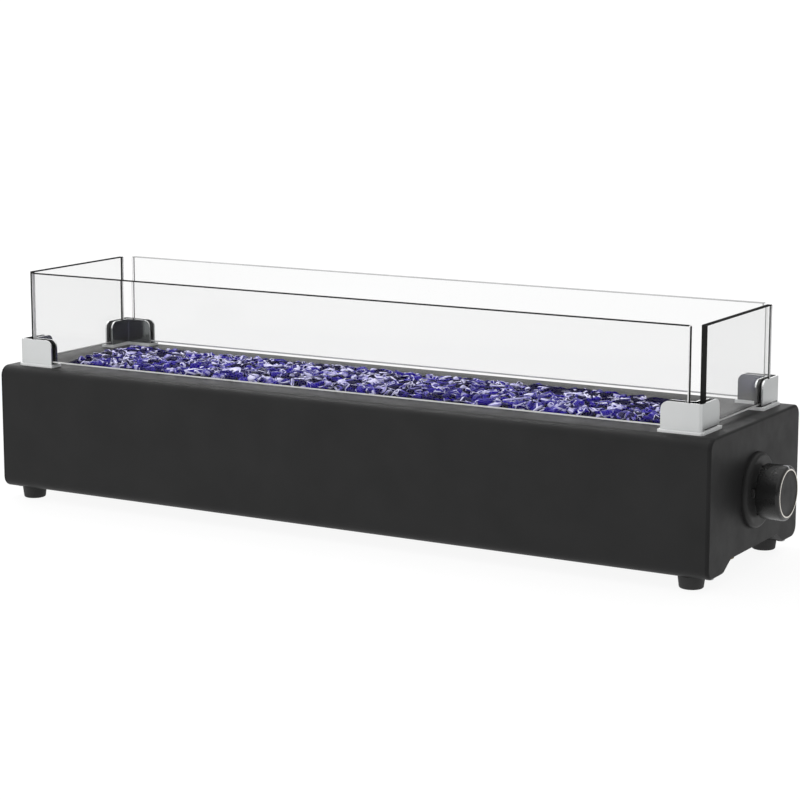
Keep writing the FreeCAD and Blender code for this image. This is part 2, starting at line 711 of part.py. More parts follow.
def make_fire_glass():
    """The bed of crushed glass, hollow where the burner, its saddles and the mixer stand."""
    trimmer = tray_form(-BED_PLAY, tray_floor, clip_top)
    trimmer = trimmer.makeFillet(TRAY_BEND, edges_in_plane(trimmer, tray_floor, Z_AXIS))
    bed = bed_surface().common(trimmer)
    half = SADDLE_WIDTH / 2 + BED_PLAY
    channel = BURNER_RADIUS + BED_PLAY
    left = burner_left - CAP_FLANGE - BED_PLAY
    right = burner_right + CAP_FLANGE + BED_PLAY
    tools = [
        rod_x(channel, left, right, 0, burner_z),
        block((left, -channel, tray_floor - SKIN), (right, channel, burner_z)),
    ]
    for x in saddle_places:
        far_x = x + SADDLE_SHEET + SADDLE_LENGTH + BED_PLAY
        low = (x - BED_PLAY, -half, tray_floor - SKIN)
        tools.append(block(low, (far_x, half, burner_z + BED_PLAY)))
    return bed.cut(tools)


# --- gas path -----------------------------------------------------------------------------------
def mixer_path():
    """Centre line of the mixer: along the valve's axis, then up to the burner."""
    bend_start = V(bend_x, 0, knob_z)
    bend_end = V(mixer_x, 0, knob_z + mixer_bend)
    turn = mixer_bend * math.sqrt(0.5)
    middle = V(bend_x - turn, 0, knob_z + mixer_bend - turn)
    edges = [
        Part.LineSegment(V(mixer_mouth, 0, knob_z), bend_start).toShape(),
        Part.Arc(bend_start, middle, bend_end).toShape(),
        Part.LineSegment(bend_end, V(mixer_x, 0, mixer_top)).toShape(),
    ]
    return Part.Wire(edges)


def swept(path, radius):
    """Round bar along the mixer's centre line."""
    ring = Part.Wire(Part.makeCircle(radius, V(mixer_mouth, 0, knob_z), X_AXIS))
    return path.makePipeShell([ring], True, False)


def air_windows(radius):
    """Cutting tool for the two air windows beside the jet."""
    half = AIR_WINDOW_LENGTH / 2
    return block(
        (window_x - half, -radius - SKIN, knob_z - AIR_WINDOW_WIDTH / 2),
        (window_x + half, radius + SKIN, knob_z + AIR_WINDOW_WIDTH / 2),
    )


def make_mixer():
    """Bent tube that draws in air at the jet and carries the mixture up to the burner."""
    path = mixer_path()
    tube = swept(path, MIXER_RADIUS).cut(swept(path, mixer_inside))
    thread = rod_z(LOCK_SCREW_RADIUS, window_x, 0, knob_z, knob_z + MIXER_RADIUS + SKIN)
    return tube.cut([air_windows(MIXER_RADIUS), thread])


def make_shutter():
    """Sleeve over the mixer's air windows, part closed, with a hole for its lock screw."""
    half = AIR_WINDOW_LENGTH / 2 + SHUTTER_MARGIN
    outer = MIXER_RADIUS + HOLE_PLAY + SHUTTER_WALL
    start, end = window_x - half, window_x + half
    bore = rod_x(MIXER_RADIUS + HOLE_PLAY, start - SKIN, end + SKIN)
    windows = air_windows(outer)
    windows.rotate(V(window_x, 0, knob_z), X_AXIS, SHUTTER_TURN)
    thread = rod_z(LOCK_SCREW_RADIUS, window_x, 0, knob_z, knob_z + outer + SKIN)
    return rod_x(outer, start, end).cut([bore, windows, thread])


def make_shutter_screw():
    """Small screw that locks the shutter on the mixer."""
    seat = knob_z + MIXER_RADIUS + HOLE_PLAY + SHUTTER_WALL + HOLE_PLAY
    head = rod_z(LOCK_HEAD_RADIUS, window_x, 0, seat, seat + LOCK_HEAD_HEIGHT)
    shank = rod_z(LOCK_SCREW_RADIUS - HOLE_PLAY, window_x, 0, knob_z + mixer_inside, seat)
    return joined([head, shank])


def make_jet():
    """Brass jet screwed into the valve's nose."""
    thread = rod_x(JET_THREAD_RADIUS, nose_tip, nose_tip + JET_THREAD)
    body = hexagon(JET_FLATS, (nose_tip - JET_HEX, 0, knob_z), (nose_tip, 0, knob_z))
    nose = Part.makeCone(JET_NOSE_RADIUS, JET_NOSE_BASE, JET_NOSE, V(jet_tip, 0, knob_z), X_AXIS)
    bore = rod_x(GAS_BORE_RADIUS, jet_tip + JET_NOSE / 2, nose_tip + JET_THREAD + SKIN)
    orifice = rod_x(JET_ORIFICE_RADIUS, jet_tip - SKIN, jet_tip + JET_NOSE)
    return joined([thread, body, nose]).cut([bore, orifice])


def plug_cone(grow):
    """The valve's taper, its wall moved out by grow."""
    small, big = PLUG_SMALL_RADIUS + grow, PLUG_BIG_RADIUS + grow
    return Part.makeCone(small, big, PLUG_LENGTH, V(plug_tip, 0, knob_z), X_AXIS)


def make_valve_body():
    """Cast valve body: taper bore, outlet nose and inlet boss."""
    barrel = rod_x(VALVE_RADIUS, valve_back, bonnet_back)
    barrel = barrel.makeFillet(VALVE_ROUND, edges_in_plane(barrel, valve_back, X_AXIS))
    nose = rod_x(nose_radius, nose_tip, valve_back + SKIN)
    boss = rod_z(INLET_BOSS_RADIUS, inlet_x, 0, boss_end, knob_z)
    thread = rod_z(INLET_THREAD_RADIUS, inlet_x, 0, pipe_top, boss_end + SKIN)
    body = joined([barrel, nose, boss, thread])
    tools = [
        plug_cone(PLUG_PLAY),
        rod_x(PLUG_BIG_RADIUS + PLUG_PLAY, plug_face, bonnet_back + SKIN),
        rod_x(PLUG_SMALL_RADIUS - TAPER_RELIEF, plug_tip - TAPER_RELIEF, plug_tip + SKIN),
        rod_x(GAS_BORE_RADIUS, nose_tip, plug_tip),
        rod_x(JET_THREAD_RADIUS, nose_tip - SKIN, nose_tip + JET_THREAD),
        rod_z(GAS_BORE_RADIUS, inlet_x, 0, pipe_top - SKIN, knob_z),
    ]
    return body.cut(tools)


def plug_port(radius, turn):
    """Side port that faces the inlet below once the plug has turned that far."""
    port = rod_z(radius, inlet_x, 0, knob_z - PLUG_BIG_RADIUS - SKIN, knob_z)
    port.rotate(V(inlet_x, 0, knob_z), X_AXIS, -turn)
    return port


def make_plug():
    """Tapered plug with its gas passages, shut at rest."""
    half_width_of_slot = TONGUE_WIDTH / 2 + TONGUE_PLAY
    half_height_of_slot = TONGUE_THICK / 2 + TONGUE_PLAY
    slot = block(
        (plug_face - PLUG_SLOT_DEPTH, -half_width_of_slot, knob_z - half_height_of_slot),
        (plug_face + SKIN, half_width_of_slot, knob_z + half_height_of_slot),
    )
    passage = rod_x(GAS_BORE_RADIUS, plug_tip - SKIN, inlet_x)
    ports = [plug_port(GAS_BORE_RADIUS, HIGH_TURN), plug_port(LOW_PORT_RADIUS, LOW_TURN)]
    return plug_cone(0).cut([slot, passage.fuse(ports)])


def make_bonnet():
    """Cover that holds the spring and guides the stem, with a flange for the end panel."""
    barrel = rod_x(bonnet_radius, bonnet_back, panel_inner)
    flange_back = panel_inner - BONNET_FLANGE
    flange = block(
        (flange_back, valve_screw_ys[0], knob_z - BONNET_EAR_RADIUS),
        (panel_inner, valve_screw_ys[1], knob_z + BONNET_EAR_RADIUS),
    )
    tools = [
        rod_x(BONNET_CAVITY_RADIUS, bonnet_back - SKIN, collar_face),
        rod_x(STEM_RADIUS + STEM_PLAY, bonnet_back, panel_inner + SKIN),
    ]
    ears = []
    for y in valve_screw_ys:
        ears.append(rod_x(BONNET_EAR_RADIUS, flange_back, panel_inner, y))
        tools.append(rod_x(SCREW_RADIUS + HOLE_PLAY, flange_back - SKIN, panel_inner + SKIN, y))
    return joined([barrel, flange] + ears).cut(tools)


def d_bar(radius, flat, x0, x1):
    """Round bar with one flat on top."""
    waste = block((x0 - SKIN, -radius, knob_z + flat), (x1 + SKIN, radius, knob_z + radius + SKIN))
    return rod_x(radius, x0, x1).cut(waste)


def make_stem():
    """Valve stem: tongue in the plug, collar against the bonnet, D end in the knob."""
    shaft = rod_x(STEM_RADIUS, collar_back, knob_back)
    grip = d_bar(STEM_RADIUS, STEM_FLAT, knob_back - SKIN, knob_back + STEM_IN_KNOB)
    collar = rod_x(COLLAR_RADIUS, collar_back, collar_face)
    tongue = block(
        (plug_face - TONGUE_REACH, -TONGUE_WIDTH / 2, knob_z - TONGUE_THICK / 2),
        (collar_face, TONGUE_WIDTH / 2, knob_z + TONGUE_THICK / 2),
    )
    return joined([shaft, grip, collar, tongue])


def make_washer():
    """Thrust washer between the spring and the collar."""
    bore = rod_x(STEM_RADIUS + STEM_PLAY, washer_back - SKIN, collar_back + SKIN)
    return rod_x(washer_radius, washer_back, collar_back).cut(bore)


def make_spring():
    """Coil spring between the plug and the washer."""
    length = washer_back - plug_face - 2 * SPRING_WIRE
    helix = Part.makeHelix(length / SPRING_TURNS, length, spring_radius)
    ring = Part.Wire(Part.makeCircle(SPRING_WIRE, V(spring_radius, 0, 0), Y_AXIS))
    spring = Part.Wire(helix.Edges).makePipeShell([ring], True, True)
    spring.rotate(V(0, 0, 0), Y_AXIS, 90)
    spring.translate(V(plug_face + SPRING_WIRE, 0, knob_z))
    return spring


def make_valve_screw(y):
    """Screw through bezel, end panel and bonnet, its head in the bezel's well."""
    well = bezel_face - BEZEL_WELL_DEPTH
    head = rod_x(HEAD_RADIUS, well, well + VALVE_SCREW_HEAD, y)
    shank = rod_x(SCREW_RADIUS, panel_inner - BONNET_FLANGE, well, y)
    return joined([head, shank])


def make_pipe_nut():
    """Union nut that draws the pipe up to the valve's inlet."""
    top = boss_end - HOLE_PLAY
    bottom = top - PIPE_NUT_HEIGHT
    body = hexagon(PIPE_NUT_FLATS, (inlet_x, 0, bottom), (inlet_x, 0, top))
    tools = [
        rod_z(INLET_THREAD_RADIUS + HOLE_PLAY, inlet_x, 0, pipe_top, top + SKIN),
        rod_z(PIPE_RADIUS + HOLE_PLAY, inlet_x, 0, bottom - SKIN, top),
    ]
    return body.cut(tools)


def make_pipe():
    """Short riser from the inlet fitting to the valve."""
    bore = rod_z(PIPE_RADIUS - PIPE_WALL, inlet_x, 0, pipe_bottom - SKIN, pipe_top + SKIN)
    return rod_z(PIPE_RADIUS, inlet_x, 0, pipe_bottom, pipe_top).cut(bore)


def make_elbow():
    """Brass inlet elbow under the casing, its flared male end towards the right end's recess."""
    half = ELBOW_SIZE / 2
    low = (inlet_x - half, -half, flare_z - half)
    body = block(low, (inlet_x + half, half, recess_ceiling))
    body = body.makeFillet(ELBOW_ROUND, edges_along(body, Z_AXIS))
    stem = rod_z(ELBOW_STEM_RADIUS, inlet_x, 0, recess_ceiling - SKIN, stem_top)
    collar = rod_x(half, inlet_x, flare_start, 0, flare_z)
    thread = rod_x(FLARE_RADIUS, flare_start - SKIN, flare_end, 0, flare_z)
    neck = FLARE_RADIUS - FLARE_STEP
    cone = Part.makeCone(neck, neck - FLARE_CONE / 2, FLARE_CONE, V(flare_end, 0, flare_z), X_AXIS)
    bores = [
        rod_z(PIPE_RADIUS, inlet_x, 0, pipe_bottom, stem_top + SKIN),
        rod_z(GAS_BORE_RADIUS, inlet_x, 0, flare_z, pipe_bottom + SKIN),
        rod_x(GAS_BORE_RADIUS, inlet_x, flare_end + FLARE_CONE + SKIN, 0, flare_z),
    ]
    return joined([body, stem, collar, thread, cone]).cut(bores)


def make_lock_nut():
    """Nut that clamps the elbow to the base plate."""
    top = base_top + LOCK_NUT_HEIGHT
    bore = rod_z(ELBOW_STEM_RADIUS + HOLE_PLAY, inlet_x, 0, base_top - SKIN, top + SKIN)
    return hexagon(LOCK_NUT_FLATS, (inlet_x, 0, base_top), (inlet_x, 0, top)).cut(bore)


def save_gas_path():
    save("mixer_tube", make_mixer())
    save("air_shutter", make_shutter())
    save("shutter_screw", make_shutter_screw())
    save("gas_jet", make_jet())
    save("valve_body", make_valve_body())
    save("valve_bonnet", make_bonnet())
    save("valve_plug", make_plug())
    save("valve_stem", make_stem())
    save("stem_washer", make_washer())
    save("valve_spring", make_spring())
    save_group("valve_screws", [make_valve_screw(y) for y in valve_screw_ys])
    save("gas_pipe", make_pipe())
    save("pipe_nut", make_pipe_nut())
    save("inlet_elbow", make_elbow())
    save("inlet_lock_nut", make_lock_nut())


# --- knob ---------------------------------------------------------------------------------------
def make_bezel():
    """Domed disc round the stem, with a well for the valve screws."""
    disc = rod_x(BEZEL_RADIUS, half_length, bezel_face)
    disc = disc.makeFillet(BEZEL_ROUND, edges_in_plane(disc, bezel_face, X_AXIS))
    tools = [
        rod_x(well_radius, bezel_face - BEZEL_WELL_DEPTH, bezel_face + SKIN),
        rod_x(BEZEL_HOLE_RADIUS, half_length - SKIN, bezel_face),
    ]
    for y in valve_screw_ys:
        tools.append(rod_x(SCREW_RADIUS + HOLE_PLAY, half_length - SKIN, bezel_face, y))
    return disc.cut(tools)


def mark_strip():
    """The pointer's strip across the knob's front corner, a little way under the skin."""
    starts = (
        (knob_face - MARK_LENGTH, KNOB_RADIUS - MARK_DEPTH),
        (knob_face - MARK_DEPTH, ring_radius + MARK_RING_GAP),
        (knob_face - KNOB_EDGE, KNOB_RADIUS - KNOB_EDGE),
    )
    high = (knob_face + SKIN, MARK_WIDTH / 2, knob_z + KNOB_RADIUS + SKIN)
    return joined([block((x, -MARK_WIDTH / 2, knob_z + radius), high) for x, radius in starts])


def knob_form():
    """The knob's outer form before it is hollowed."""
    form = rod_x(KNOB_RADIUS, knob_back, knob_face)
    form = form.makeFillet(KNOB_EDGE, edges_in_plane(form, knob_face, X_AXIS))
    return form.makeFillet(KNOB_BACK_EDGE, edges_in_plane(form, knob_back, X_AXIS))


def save_knob():
    save("knob_bezel", make_bezel())
    form = knob_form()
    cavity = rod_x(KNOB_RADIUS - KNOB_WALL, knob_back - SKIN, knob_face - KNOB_FRONT)
    cavity = cavity.cut(rod_x(KNOB_HUB_RADIUS, knob_back - 2 * SKIN, knob_face))
    seat = knob_face - RING_DEPTH
    pockets = [
        cavity,
        d_bar(STEM_RADIUS, STEM_FLAT, knob_back - SKIN, knob_back + STEM_IN_KNOB),
        rod_x(ring_radius, seat, knob_face + SKIN),
        mark_strip(),
    ]
    save("knob_body", form.cut(pockets))
    save("knob_pointer", form.common(mark_strip()))
    ring = rod_x(ring_radius, seat, knob_face + RING_PROUD)
    save("knob_ring", ring.cut(rod_x(ring_inner, seat - SKIN, knob_face + SKIN)))
    save("knob_face", rod_x(ring_inner, seat, knob_face - FACE_RECESS))


# --- glass panels and corner clips ---------------------------------------------------------------
def make_panel(low, high):
    """Glass panel with a fine arris on every edge."""
    panel = block(low, high)
    return panel.makeChamfer(GLASS_ARRIS, panel.Edges)


def corner_waste(wing_end, along):
    """Cutting tool that rounds the free top corner of the wing that runs along an axis."""
    radius = CLIP_FREE_CORNER
    across = X_AXIS + Y_AXIS - along
    middle = along * (wing_end + radius) + Z_AXIS * (clip_top - radius)
    low = along * (wing_end - SKIN) + Z_AXIS * (clip_top - radius)
    high = middle + across * half_length + Z_AXIS * (radius + SKIN)
    keep = rod(radius, tuple(middle), tuple(middle + across * half_length))
    return block(tuple(low), tuple(high)).cut(keep)


def rounded_plan(low, high, radius):
    """Box whose upright edge at its far corner is rounded."""
    box = block(low, high)
    corner = [edge for edge in edges_along(box, Z_AXIS) if at_corner(edge, high[0], high[1])]
    return box.makeFillet(radius, corner)


def make_angle(x, y):
    """Upright L of sheet with its outer faces at x and y, ending at the wings' ends."""
    outer = rounded_plan((wing_end_x, wing_end_y, clip_floor), (x, y, clip_top), CLIP_CORNER)
    inner = rounded_plan(
        (wing_end_x - SKIN, wing_end_y - SKIN, clip_floor - SKIN),
        (x - CLIP_SHEET, y - CLIP_SHEET, clip_top + SKIN),
        CLIP_CORNER - CLIP_SHEET,
    )
    front_wing = block((0, y - CLIP_SHEET, deck), (x - CLIP_CORNER, y, glass_top))
    side_wing = block((x - CLIP_SHEET, 0, deck), (x, y - CLIP_CORNER, glass_top))
    wastes = [
        corner_waste(wing_end_x, X_AXIS).common(front_wing),
        corner_waste(wing_end_y, Y_AXIS).common(side_wing),
    ]
    return outer.cut([inner] + wastes)


def clip_screw_places():
    """Two screws for the rear right clip, under the glass and clear of the corner."""
    middle_x = (glass_x + glass_x_inner) / 2
    middle_y = (glass_y + glass_y_inner) / 2
    from_corner = CLIP_SCREW_FROM_CORNER
    return [(clip_x - from_corner, middle_y), (middle_x, clip_y - from_corner)]


def make_clip():
    """Rear right clip: base angle with the outer wall standing on it."""
    far_x, far_y = clip_x + CLIP_BASE_PROUD, clip_y + CLIP_BASE_PROUD
    low_x, low_y = wing_end_x - CLIP_BASE_PROUD, wing_end_y - CLIP_BASE_PROUD
    near_x = inner_x - CLIP_SHEET - CLIP_BASE_PROUD
    near_y = inner_y - CLIP_SHEET - CLIP_BASE_PROUD
    bend = CLIP_CORNER + CLIP_BASE_PROUD
    base = rounded_plan((low_x, low_y, deck), (far_x, far_y, clip_floor), bend)
    base = base.cut(block((low_x - SKIN, low_y - SKIN, deck - SKIN), (near_x, near_y, clip_floor + SKIN)))
    slot = block(
        (clip_x - CLIP_SHEET - SKIN, wing_end_y - SKIN, clip_floor),
        (far_x, clip_y - CLIP_SHEET - CLIP_CORNER, clip_floor + CLIP_SLOT),
    )
    clip = base.fuse(make_angle(clip_x, clip_y).cut(slot)).removeSplitter()
    return clip.cut([screw_hole(x, y, deck, clip_floor) for x, y in clip_screw_places()])


def make_liners():
    """The rear right clip's two rubber channels, which the panels stand in."""
    top = clip_top - LINER_TOP_GAP
    long_channel = block(
        (wing_end_x + LINER_END_GAP, inner_y, clip_floor),
        (long_panel_half + LINER, glass_y + clip_gap, top),
    )
    long_groove = block(
        (0, glass_y_inner - GLASS_PLAY, glass_bottom),
        (clip_x, glass_y + GLASS_PLAY, top + SKIN),
    )
    short_channel = block(
        (inner_x, wing_end_y + LINER_END_GAP, clip_floor),
        (glass_x + clip_gap, short_panel_half + LINER, top),
    )
    short_groove = block(
        (glass_x_inner - GLASS_PLAY, 0, glass_bottom),
        (glass_x + GLASS_PLAY, clip_y, top + SKIN),
    )
    return [
        long_channel.cut([long_groove, corner_waste(wing_end_x, X_AXIS)]),
        short_channel.cut([short_groove, corner_waste(wing_end_y, Y_AXIS)]),
    ]


def save_guard():
    long_low = (-long_panel_half, glass_y_inner, glass_bottom)
    rear = make_panel(long_low, (long_panel_half, glass_y, glass_top))
    save("glass_rear", rear)
    save("glass_front", rear.mirror(V(0, 0, 0), Y_AXIS))
    short_low = (glass_x_inner, -short_panel_half, glass_bottom)
    right = make_panel(short_low, (glass_x, short_panel_half, glass_top))
    save("glass_right", right)
    save("glass_left", right.mirror(V(0, 0, 0), X_AXIS))
    for corner, clip in four_corners(make_clip()).items():
        save("clip_" + corner, clip)
    for corner, plate in four_corners(make_angle(inner_x, inner_y)).items():
        save("clip_inner_" + corner, plate)
    liners = []
    for liner in make_liners():
        liners += four_corners(liner).values()
    save_group("glass_liners", liners)
    screws = []
    for x, y in clip_screw_places():
        screws += four_corners(pan_screw(x, y, deck_under, clip_floor)).values()
    save_group("clip_screws", screws)


os.makedirs("parts", exist_ok=True)
save_casing()
save_tray_and_burner()
save("fire_glass_bed", make_fire_glass())
save_gas_path()
save_knob()
save_guard()
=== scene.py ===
import json
import math
import random

import bmesh
import bpy
from mathutils import Euler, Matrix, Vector, noise
from mathutils.bvhtree import BVHTree


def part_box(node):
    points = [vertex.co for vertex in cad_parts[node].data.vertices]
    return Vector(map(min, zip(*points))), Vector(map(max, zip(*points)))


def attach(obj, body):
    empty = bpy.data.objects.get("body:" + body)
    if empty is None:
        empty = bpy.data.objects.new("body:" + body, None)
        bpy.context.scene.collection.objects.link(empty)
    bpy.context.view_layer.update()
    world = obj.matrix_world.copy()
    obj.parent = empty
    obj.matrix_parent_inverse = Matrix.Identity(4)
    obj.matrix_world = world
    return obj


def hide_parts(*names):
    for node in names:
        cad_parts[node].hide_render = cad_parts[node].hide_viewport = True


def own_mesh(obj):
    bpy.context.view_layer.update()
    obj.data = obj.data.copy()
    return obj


# Looks of the tabletop gas fire pit: painted steel casing, crushed glass over the burner, a clear
# glass guard in satin corner clips, rubber feet and the gas knob on the right end.
# Metres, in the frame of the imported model: +X towards the knob, +Y to the rear, +Z up.

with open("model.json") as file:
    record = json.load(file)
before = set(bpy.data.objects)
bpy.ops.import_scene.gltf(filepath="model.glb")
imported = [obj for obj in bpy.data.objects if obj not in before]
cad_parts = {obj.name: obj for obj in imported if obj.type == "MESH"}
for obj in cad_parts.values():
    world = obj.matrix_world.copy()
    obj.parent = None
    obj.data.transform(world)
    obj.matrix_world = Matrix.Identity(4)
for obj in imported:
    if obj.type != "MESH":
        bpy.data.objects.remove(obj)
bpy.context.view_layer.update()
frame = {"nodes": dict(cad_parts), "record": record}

# --- camera -------------------------------------------------------------------------------------
CAMERA_PLACE = (1.05396, -1.78827, 0.48328)
CAMERA_YAW = 30.412        # degrees to the left of +Y
CAMERA_TILT = 10.157       # degrees below the horizon
LENS_MM = 107.23
SENSOR_MM = 36.0

# --- studio -------------------------------------------------------------------------------------
FLOOR_RADIUS = 60.0
FLOOR_CORNERS = 96
FLOOR_TONES = (0.08, 0.10)
FLOOR_GLOW = 0.92          # keeps the floor pale under the casing too
FLOOR_GLOW_TONES = (0.98, 1.0)
UP = (0.0, 0.0, 1.0)
LEFT = (-1.0, 0.0, 0.0)
REAR_LEFT = (-0.6, 0.8, 0.0)
SKY = (  # direction, where the tone starts and ends along it, tones there, strength
    (UP, (0.0, 1.0), (0.03, 1.0), 1.35),
    (LEFT, (0.0, 1.0), (0.0, 1.0), 0.45),
    (REAR_LEFT, (0.75, 1.0), (0.0, 1.0), 1.05),
)
LIGHTS = (  # name, place, point lit, size, power in watts
    ("overhead_softbox", (-1.1, 0.5, 1.9), (0.0, 0.0, 0.1), 0.9, 12.0),
    ("front_softbox", (-1.5, -2.4, 0.55), (0.0, 0.0, 0.1), 1.0, 6.0),
)

# --- patterns -----------------------------------------------------------------------------------
X, Y, Z = range(3)
EVEN = (1.0, 1.0, 1.0)     # a pattern that isn't stretched
NOISE_LOW, NOISE_HIGH = 0.3, 0.7        # most of a noise pattern's values lie between these
BLOTCH_SCALE = 22.0        # of a blotched finish's colour
GLOSS_SCALE = 3 * BLOTCH_SCALE          # and of its gloss
COAT_TINT = 0.0002         # more blue than red in the powder coat
BRUSH_GRAIN = 2600.0
BRUSH_DEPTH = 0.000012
BRUSH_STRETCH = 0.03       # scale of a brushed sheet's pattern along its scratches

# --- crushed glass ------------------------------------------------------------------------------
CHIP_SEED = 11
CHIP_FORMS = 16            # different chips, each used many times
CHIP_CORNERS = 10
CHIP_SIZE = (0.0092, 0.0062, 0.0038)    # half lengths of a middling chip
CHIP_REACH = (0.8, 1.1)    # of a chip's corners, in its half lengths
CHIP_FACET = 0.35          # radians; faces that differ by less become one
CHIP_SCALES = (0.7, 1.2)
CHIP_BEVEL = 0.0011
CHIP_STEP = 0.0074         # between neighbouring chips' middles
CHIP_STRAY = 0.4           # of a step, either way
CHIP_WALL_GAP = 0.003      # from the opening's sides to the nearest chips' middles
CHIP_FRONT_GAP = 0.0015    # from the opening's front side to the nearest chips
CHIP_LIFT = (-0.0008, 0.0014)           # from the bed's surface up to the chips' middles
CHIP_TOP = 0.1312          # no chip stands higher over most of the bed
CHIP_FAR_TOP = 0.1292      # nor higher than this along the bed's far side
CHIP_CORNER_TOP = 0.1262   # nor higher than this at its far right corner
CHIP_CORNER = (0.19, 0.25)              # from there along X the corner's limit comes in
CHIP_TILT = 0.6            # radians, either way
BARE_CORNER = (0.018, 0.036)            # no chips here, at the opening's near left corner
CHIP_SHARES = (0.48, 0.56)              # cobalt up to the first, pale up to the second, then navy
CHIP_PATCH = 55.0          # how closely patches of one colour follow each other, per metre
PATCH_WEIGHT = 0.55        # of the patches, against pure chance
BRIGHT_EDGES = (0.55, 0.9, 0.85)        # share of each kind's chips whose bevelled edges get painted highlights
EDGE_HIGHLIGHT = 3                   # the material of the painted highlights on bevelled edges, after those of the three kinds

# --- guard panels -------------------------------------------------------------------------------
EDGE_ROUND = 0.0007
EDGE_STEPS = 3
GLINT_BAND = 0.0015       # height of the painted glint band along the long panels' lower edges
LIT_END = 0.55             # share of a short panel's far end that light comes through, painted there as a glint
FLAT = 0.999               # least part of a normal that looks along an axis
SLANT = 0.1                # least part of one that looks partly along it
HALFWAY = 0.5              # and of one that looks more along it than not
CLEAR, DARK, PALE_GLINT, GLINT = range(4)    # the panels' materials, in their order: clear glass, painted shade on edges, a paler painted highlight on edges, a bright painted glint
GLASS_INDEX = 1.2          # low, so that the panels hardly bend the view through them
GLASS_SLANTS = (0.15, 0.5)              # the glass darkens between these shares of a grazing look

# --- clips --------------------------------------------------------------------------------------
CLIP_BASE = 0.0026         # height of a clip's base, which gets a painted highlight
ACROSS = 0.9               # least part along X of the normal of a wing that stands across X
SHEET, LIT_RIM, LIT_BASE, SHADED_WING = range(4)       # a clip's materials, in their order: steel, painted highlight on rims and base, painted shade on wings across X


# --- node helpers -------------------------------------------------------------------------------
class Finish:
    """A material's node tree with the few patterns that the finishes are made of."""

    def __init__(self, name):
        self.material = bpy.data.materials.new(name)
        self.material.use_nodes = True
        self.tree = self.material.node_tree
        self.shader = self.tree.nodes["Principled BSDF"]

    def node(self, kind):
        return self.tree.nodes.new(kind)

    def link(self, source, target):
        self.tree.links.new(source, target)

    def place(self, stretch):
        """The piece's own coordinates, stretched along some axes."""
        coordinates = self.node("ShaderNodeTexCoord")
        mapping = self.node("ShaderNodeMapping")
        mapping.inputs["Scale"].default_value = stretch
        self.link(coordinates.outputs["Object"], mapping.inputs["Vector"])
        return mapping.outputs["Vector"]

    def noise(self, scale, detail=2.0, stretch=EVEN):
        made = self.node("ShaderNodeTexNoise")
        made.inputs["Scale"].default_value = scale
        made.inputs["Detail"].default_value = detail
        self.link(self.place(stretch), made.inputs["Vector"])
        return made.outputs["Fac"]

    def island(self):
        """A random number for each separate chip."""
        return self.node("ShaderNodeNewGeometry").outputs["Random Per Island"]

    def ramp(self, factor, low, high, places=(NOISE_LOW, NOISE_HIGH)):
        """A colour that a pattern moves between two colours."""
        made = self.node("ShaderNodeValToRGB")
        for element, place, colour in zip(made.color_ramp.elements, places, (low, high)):
            element.position = place
            element.color = (*colour, 1.0)
        self.link(factor, made.inputs["Fac"])
        return made.outputs["Color"]

    def span(self, factor, low, high):
        """A number that a pattern moves between two values."""
        made = self.node("ShaderNodeMapRange")
        made.inputs["From Min"].default_value = NOISE_LOW
        made.inputs["From Max"].default_value = NOISE_HIGH
        made.inputs["To Min"].default_value = low
        made.inputs["To Max"].default_value = high
        self.link(factor, made.inputs["Value"])
        return made.outputs["Result"]

    def set(self, **values):
        """Uniform values, on the shader's own sockets."""
        for name, value in values.items():
            self.shader.inputs[name.replace("_", " ")].default_value = value

    def drive(self, name, source):
        self.link(source, self.shader.inputs[name])

    def bump(self, height, depth):
        made = self.node("ShaderNodeBump")
        made.inputs["Distance"].default_value = depth
        self.link(height, made.inputs["Height"])
        self.link(made.outputs["Normal"], self.shader.inputs["Normal"])


def grey(tone):
    """A colour without a tint."""
    return (tone, tone, tone)


def blotched(name, dark, light, rough, grain, depth, stretch=EVEN, **values):
    """A finish with faint colour blotches, uneven gloss and a fine grain."""
    finish = Finish(name)
    finish.drive("Base Color", finish.ramp(finish.noise(BLOTCH_SCALE), dark, light))
    gloss = finish.noise(GLOSS_SCALE, detail=4.0, stretch=stretch)
    finish.drive("Roughness", finish.span(gloss, *rough))
    finish.bump(finish.noise(grain, detail=3.0, stretch=stretch), depth)
    finish.set(**values)
    return finish.material


# --- finishes -----------------------------------------------------------------------------------
def powder_coat(name, dark, light, gloss):
    """Satin black powder coat with its fine orange-peel grain."""
    tones = [(tone, tone, tone + COAT_TINT) for tone in (dark, light)]
    rough = (0.42, 0.50)
    return blotched(name, *tones, rough, grain=1500.0, depth=0.00003, Specular_IOR_Level=gloss)


def brushed(name, dark, light, rough, lay):
    """Brushed metal, its scratches drawn out along one axis."""
    stretch = list(EVEN)
    stretch[lay] = BRUSH_STRETCH
    return blotched(name, dark, light, rough, BRUSH_GRAIN, BRUSH_DEPTH, tuple(stretch), Metallic=1.0)


def moulded(name, dark, light, rough, **values):
    """Moulded plastic or rubber with a fine spark-eroded grain."""
    return blotched(name, dark, light, rough, grain=2200.0, depth=0.00002, **values)


def clear_glass(name, facing, slanting, rough):
    """Glass that lamps shine through, darker where the look through it is slanting."""
    finish = Finish(name)
    slant = finish.node("ShaderNodeLayerWeight").outputs["Facing"]
    finish.drive("Base Color", finish.ramp(slant, facing, slanting, GLASS_SLANTS))
    finish.drive("Roughness", finish.span(finish.noise(40.0, detail=4.0), *rough))
    finish.set(Transmission_Weight=1.0, IOR=GLASS_INDEX)
    output = finish.tree.nodes["Material Output"]
    path = finish.node("ShaderNodeLightPath")
    clear = finish.node("ShaderNodeBsdfTransparent")
    clear.inputs["Color"].default_value = (*facing, 1.0)
    mixed = finish.node("ShaderNodeMixShader")
    finish.link(path.outputs["Is Shadow Ray"], mixed.inputs["Fac"])
    finish.link(finish.shader.outputs["BSDF"], mixed.inputs[1])
    finish.link(clear.outputs["BSDF"], mixed.inputs[2])
    finish.link(mixed.outputs["Shader"], output.inputs["Surface"])
    return finish.material


